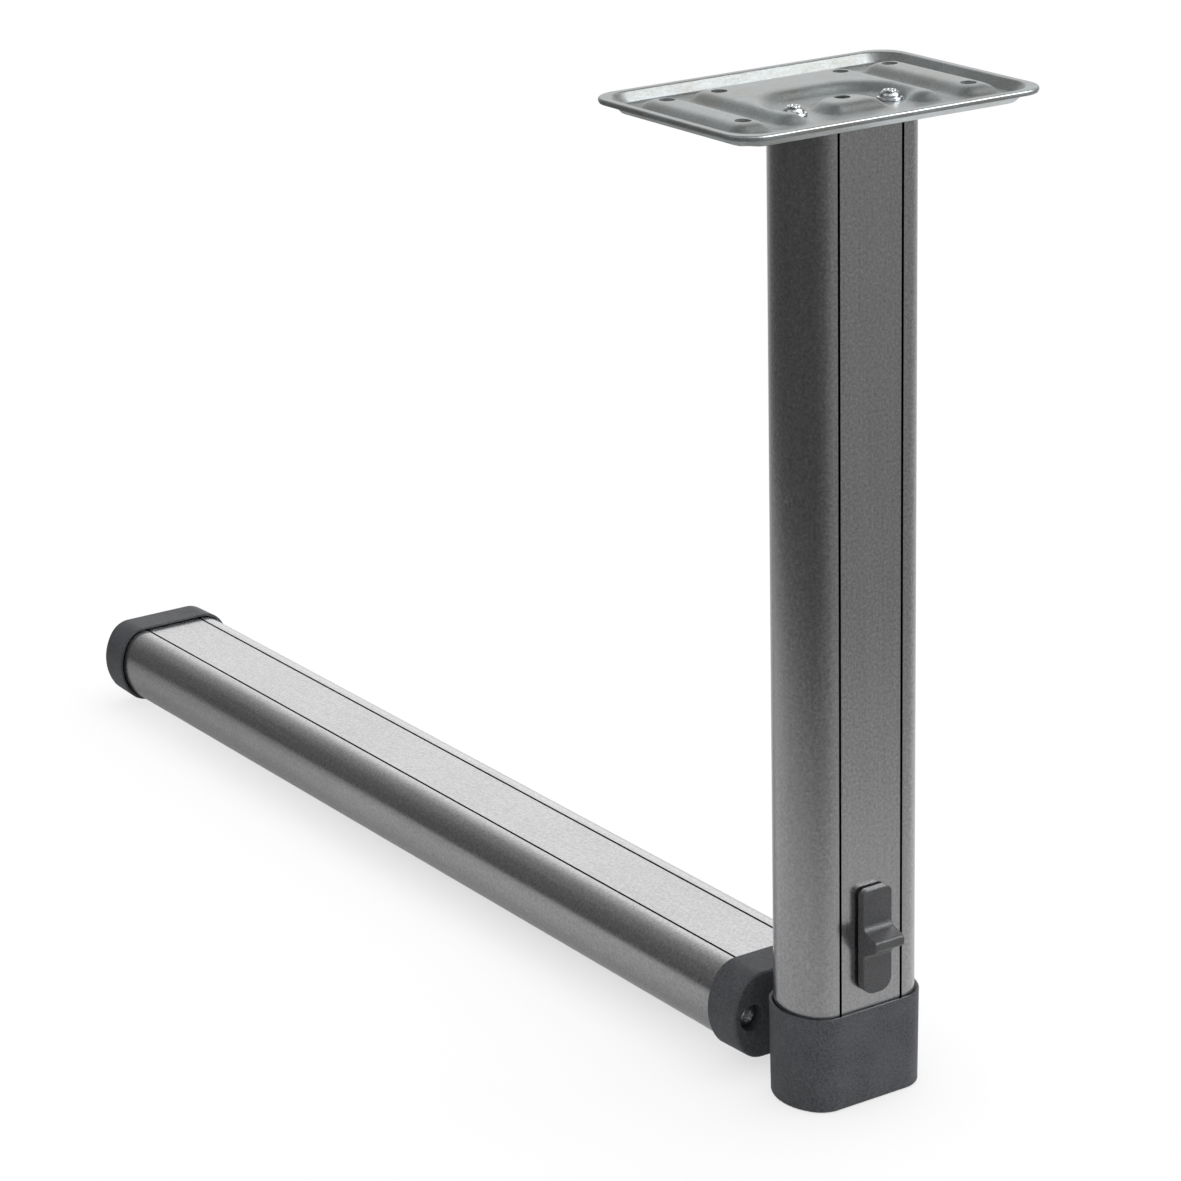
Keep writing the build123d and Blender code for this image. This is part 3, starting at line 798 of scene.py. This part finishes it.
def screw_tree():
    """Node group that threads a screw body and sets a copy on every seat point, along its axis."""
    tree = bpy.data.node_groups.new("flanged_screws", "GeometryNodeTree")
    group = tree.interface
    group.new_socket("Seats", in_out="INPUT", socket_type="NodeSocketGeometry")
    group.new_socket("Body", in_out="INPUT", socket_type="NodeSocketObject")
    group.new_socket("Finish", in_out="INPUT", socket_type="NodeSocketMaterial")
    for name in ("Thread Radius", "Core Radius", "Thread Pitch", "Thread Length", "Thread Start"):
        group.new_socket(name, in_out="INPUT", socket_type="NodeSocketFloat")
    group.new_socket("Screws", in_out="OUTPUT", socket_type="NodeSocketGeometry")
    nodes = tree.nodes
    links = tree.links
    given = nodes.new("NodeGroupInput")
    result = nodes.new("NodeGroupOutput")

    def maths(operation, first, second):
        node = nodes.new("ShaderNodeMath")
        node.operation = operation
        for index, value in enumerate((first, second)):
            if isinstance(value, bpy.types.NodeSocket):
                links.new(value, node.inputs[index])
            else:
                node.inputs[index].default_value = value
        return node.outputs[0]

    length = given.outputs["Thread Length"]
    pitch = given.outputs["Thread Pitch"]
    root = given.outputs["Core Radius"]
    crest = given.outputs["Thread Radius"]
    spiral = nodes.new("GeometryNodeCurveSpiral")
    spiral.inputs["Resolution"].default_value = THREAD_POINTS
    links.new(maths("DIVIDE", length, pitch), spiral.inputs["Rotations"])
    middle = maths("MULTIPLY", maths("ADD", root, crest), 0.5)
    links.new(middle, spiral.inputs["Start Radius"])
    links.new(middle, spiral.inputs["End Radius"])
    links.new(length, spiral.inputs["Height"])
    ridge = nodes.new("GeometryNodeCurvePrimitiveCircle")
    ridge.inputs["Resolution"].default_value = RIDGE_POINTS
    half = maths("MULTIPLY", maths("SUBTRACT", crest, root), 0.5)
    links.new(half, ridge.inputs["Radius"])
    thread = nodes.new("GeometryNodeCurveToMesh")
    links.new(spiral.outputs["Curve"], thread.inputs["Curve"])
    links.new(ridge.outputs["Curve"], thread.inputs["Profile Curve"])
    thread.inputs["Fill Caps"].default_value = True
    drop = nodes.new("ShaderNodeCombineXYZ")
    lowest = maths("ADD", given.outputs["Thread Start"], length)
    links.new(maths("SUBTRACT", 0.0, lowest), drop.inputs["Z"])
    lowered = nodes.new("GeometryNodeTransform")
    links.new(thread.outputs["Mesh"], lowered.inputs["Geometry"])
    links.new(drop.outputs["Vector"], lowered.inputs["Translation"])
    body = nodes.new("GeometryNodeObjectInfo")
    links.new(given.outputs["Body"], body.inputs["Object"])
    joined = nodes.new("GeometryNodeJoinGeometry")
    links.new(body.outputs["Geometry"], joined.inputs["Geometry"])
    links.new(lowered.outputs["Geometry"], joined.inputs["Geometry"])
    axis = nodes.new("GeometryNodeInputNamedAttribute")
    axis.data_type = "FLOAT_VECTOR"
    axis.inputs["Name"].default_value = "axis"
    turn = nodes.new("FunctionNodeAlignRotationToVector")
    turn.axis = "Z"
    links.new(axis.outputs["Attribute"], turn.inputs["Vector"])
    copies = nodes.new("GeometryNodeInstanceOnPoints")
    links.new(given.outputs["Seats"], copies.inputs["Points"])
    links.new(joined.outputs["Geometry"], copies.inputs["Instance"])
    links.new(turn.outputs["Rotation"], copies.inputs["Rotation"])
    real = nodes.new("GeometryNodeRealizeInstances")
    links.new(copies.outputs["Instances"], real.inputs["Geometry"])
    dressed = nodes.new("GeometryNodeSetMaterial")
    links.new(real.outputs["Geometry"], dressed.inputs["Geometry"])
    links.new(given.outputs["Finish"], dressed.inputs["Material"])
    links.new(dressed.outputs["Geometry"], result.inputs["Screws"])
    return tree


def seated_screws(name, tree, sizes, seats, axis, length, material, body_name, replaced):
    """Screws on a list of seats, along one axis, made by the node group and turned into one plain mesh."""
    turned = turned_screw(sizes, length)
    mesh = bpy.data.meshes.new(name)
    mesh.from_pydata(seats, [], [])
    axes = mesh.attributes.new("axis", "FLOAT_VECTOR", "POINT")
    for seat_axis in axes.data:
        seat_axis.vector = axis
    points = bpy.data.objects.new(name + "_seats", mesh)
    bpy.context.scene.collection.objects.link(points)
    modifier = points.modifiers.new("screws", "NODES")
    modifier.node_group = tree
    values = {
        "Body": turned,
        "Finish": material,
        "Thread Radius": sizes.thread_radius,
        "Core Radius": sizes.core_radius,
        "Thread Pitch": sizes.thread_pitch,
        "Thread Length": length - sizes.thread_end,
        "Thread Start": sizes.thread_start,
    }
    for item in tree.interface.items_tree:
        if item.in_out == "INPUT" and item.name in values:
            modifier[item.identifier] = values[item.name]
    bpy.context.view_layer.update()
    evaluated = points.evaluated_get(bpy.context.evaluated_depsgraph_get())
    solid = bpy.data.meshes.new_from_object(evaluated)
    bpy.data.objects.remove(points)
    bpy.data.objects.remove(turned)
    if not solid.polygons:
        raise RuntimeError("the screws came out empty")
    piece = bpy.data.objects.new(name, solid)
    bpy.context.scene.collection.objects.link(piece)
    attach(piece, body_name)
    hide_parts(*replaced)


class LEG_OT_screws(bpy.types.Operator):
    """Make the flanged screws of the plate and of the arm's caps"""

    bl_idname = "leg.screws"
    bl_label = "Flanged screws"

    def execute(self, context):
        look = context.scene.leg_finishes
        sizes = context.scene.leg_screws
        glossy = bright_metal("plated_screw", look.plated_steel, roughness=0.17)
        # The cap screws' plating is painted 1.2 times brighter: a painted highlight for the light on their
        # domed heads
        satin_painted_bright = bright_metal("plated_cap_screw_painted_bright", scaled(look.plated_steel, 1.2), roughness=0.36)
        tree = screw_tree()
        groups = (
            ("plate_screws", "plate_screw", Vector((0, 0, 1)), COLUMN_BODY, glossy),
            ("inner_cap_screws", "inner_cap_screw", Vector((0, -1, 0)), ARM_BODY, satin_painted_bright),
            ("outer_cap_screws", "outer_cap_screw", Vector((0, 1, 0)), ARM_BODY, satin_painted_bright),
        )
        for name, stem, axis, body, material in groups:
            seats = []
            replaced = [stem + "_left", stem + "_right"]
            for node in replaced:
                low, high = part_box(node)
                span = abs((high - low).dot(axis))
                top = (low + high) / 2 + axis * span / 2
                seats.append(top - axis * sizes.head_height)
            length = span - sizes.head_height
            seated_screws(name, tree, sizes, seats, axis, length, material, body, replaced)
        return {"FINISHED"}


# Studio


def lamp(name, place, target, size, power):
    """Soft lamp that faces a point and isn't seen itself."""
    light = bpy.data.lights.new(name, "AREA")
    light.shape = "RECTANGLE"
    light.size = size[0]
    light.size_y = size[1]
    light.energy = power
    lamp_object = bpy.data.objects.new(name, light)
    bpy.context.scene.collection.objects.link(lamp_object)
    lamp_object.location = place
    facing = Vector(place) - Vector(target)
    lamp_object.rotation_euler = facing.to_track_quat("Z", "Y").to_euler()
    lamp_object.visible_camera = False
    lamp_object.visible_glossy = False


def soft_light(finish, direction, centre, tightness, strength):
    """Level of a soft light seen in a direction round its middle."""
    centre = Vector(centre).normalized()
    parts = finish.node("ShaderNodeSeparateXYZ", sockets={0: direction})
    across, along, up = (Reading(finish, parts.outputs[index]) for index in range(3))
    facing = across * centre.x + along * centre.y + up * centre.z
    return math.e ** ((facing - 1.0) * tightness) * strength


def studio_world(ambient):
    """White to the camera, plain light for matt surfaces, and the panels of a dim room for glossy ones."""
    world = bpy.data.worlds.new("studio")
    bpy.context.scene.world = world
    finish = Finish(world)
    direction = finish.node("ShaderNodeTexCoord").outputs["Generated"]
    level = DIM_ROOM
    for panel in PANELS.values():
        level = level + soft_light(finish, direction, *panel)
    path = finish.node("ShaderNodeLightPath")
    rays = ("Is Glossy Ray", "Is Transmission Ray", "Is Camera Ray")
    glossy, clear, seen = (Reading(finish, path.outputs[ray]) for ray in rays)
    mirrored = glossy + clear
    strength = level * mirrored + seen + (1.0 - mirrored - seen) * ambient
    sky = finish.node("ShaderNodeBackground", sockets={"Color": WHITE, "Strength": strength})
    finish.node("ShaderNodeOutputWorld", sockets={"Surface": sky.outputs[0]})


def pale_floor(stage):
    """Pale floor that keeps the leg's shadow and fades out into the white background."""
    size = stage.floor_size
    finish = Finish(bpy.data.materials.new("floor_pale"))
    seen = Reading(finish, finish.node("ShaderNodeLightPath").outputs["Is Camera Ray"])
    matt = finish.node("ShaderNodeBsdfDiffuse", sockets={"Color": stage.floor_colour})
    lift = finish.node("ShaderNodeEmission", sockets={"Color": WHITE, "Strength": seen * stage.floor_lift})
    both = finish.node("ShaderNodeAddShader", sockets={0: matt.outputs[0], 1: lift.outputs[0]})
    clear = finish.node("ShaderNodeBsdfTransparent")
    parts = finish.node("ShaderNodeSeparateXYZ", sockets={0: finish.place()})
    across = Reading(finish, parts.outputs[0]) / size[0]
    along = (Reading(finish, parts.outputs[1]) - stage.floor_middle) / size[1]
    nearness = (1.0 - across * across - along * along).clamped()
    solid = nearness * nearness * stage.floor_cover
    fade = finish.node("ShaderNodeMixShader", sockets={0: solid, 1: clear.outputs[0], 2: both.outputs[0]})
    finish.node("ShaderNodeOutputMaterial", sockets={"Surface": fade.outputs[0]})
    shape = bmesh.new()
    bmesh.ops.create_grid(shape, x_segments=1, y_segments=1, size=1.0)
    bmesh.ops.scale(shape, vec=(size[0], size[1], 1.0), verts=shape.verts)
    bmesh.ops.translate(shape, vec=(0.0, stage.floor_middle, -stage.floor_drop), verts=shape.verts)
    mesh = bpy.data.meshes.new("floor")
    shape.to_mesh(mesh)
    shape.free()
    mesh.materials.append(finish.owner)
    floor = bpy.data.objects.new("floor", mesh)
    bpy.context.scene.collection.objects.link(floor)


def photo_camera(stage):
    """Camera at the photograph's viewing angle."""
    data = bpy.data.cameras.new("camera")
    data.sensor_fit = "AUTO"
    data.sensor_width = 36.0
    data.lens = stage.lens
    data.clip_start = 0.05
    data.clip_end = 20.0
    turn = stage.azimuth
    rise = stage.elevation
    lean = stage.roll
    back = Vector((math.sin(turn) * math.cos(rise), -math.cos(turn) * math.cos(rise), math.sin(rise)))
    right = Vector((math.cos(turn), math.sin(turn), 0.0))
    up = back.cross(right)
    leaned_right = right * math.cos(lean) + up * math.sin(lean)
    leaned_up = up * math.cos(lean) - right * math.sin(lean)
    axes = Matrix((leaned_right, leaned_up, back)).transposed()
    camera = bpy.data.objects.new("camera", data)
    bpy.context.scene.collection.objects.link(camera)
    camera.matrix_world = Matrix.Translation(-(axes @ Vector(stage.aim))) @ axes.to_4x4()
    bpy.context.scene.camera = camera


class LEG_OT_stage(bpy.types.Operator):
    """Set up the floor, the light and the camera"""

    bl_idname = "leg.stage"
    bl_label = "Stage"

    def execute(self, context):
        stage = context.scene.leg_stage
        pale_floor(stage)
        studio_world(stage.ambient)
        lamp("key", place=(0.75, -1.70, 0.05), target=(0.0, 0.0, 0.15), size=(0.55, 0.70), power=7.0)
        lamp("top", place=(0.50, 0.10, 1.90), target=(0.0, 0.2, 0.0), size=(1.20, 1.20), power=7.0)
        photo_camera(stage)
        context.scene.view_settings.view_transform = "Standard"
        return {"FINISHED"}


class LEG_PT_panel(bpy.types.Panel):
    """Lists the steps that dress the leg, and their sizes and colours"""

    bl_label = "Support leg"
    bl_idname = "LEG_PT_panel"
    bl_space_type = "VIEW_3D"
    bl_region_type = "UI"
    bl_category = "Leg"

    def draw(self, context):
        for operator in OPERATORS:
            self.layout.operator(operator.bl_idname)
        for owner in GROUPS:
            group = getattr(context.scene, owner)
            box = self.layout.box()
            for name in group.__annotations__:
                box.prop(group, name)


OPERATORS = (
    LEG_OT_profiles,
    LEG_OT_plate,
    LEG_OT_caps,
    LEG_OT_latch,
    LEG_OT_swivel,
    LEG_OT_screws,
    LEG_OT_stage,
)
GROUPS = {"leg_finishes": LegFinishes, "leg_plate": LegPlate, "leg_screws": LegScrews, "leg_stage": LegStage}


def register():
    for group in GROUPS.values():
        bpy.utils.register_class(group)
    for operator in OPERATORS:
        bpy.utils.register_class(operator)
    bpy.utils.register_class(LEG_PT_panel)
    for name, group in GROUPS.items():
        setattr(bpy.types.Scene, name, PointerProperty(type=group))


def unregister():
    for name in GROUPS:
        delattr(bpy.types.Scene, name)
    bpy.utils.unregister_class(LEG_PT_panel)
    for operator in reversed(OPERATORS):
        bpy.utils.unregister_class(operator)
    for group in GROUPS.values():
        bpy.utils.unregister_class(group)


def main():
    register()
    bpy.ops.leg.profiles()
    bpy.ops.leg.plate()
    bpy.ops.leg.caps()
    bpy.ops.leg.latch()
    bpy.ops.leg.swivel()
    bpy.ops.leg.screws()
    bpy.ops.leg.stage()


if __name__ == "__main__":
    main()
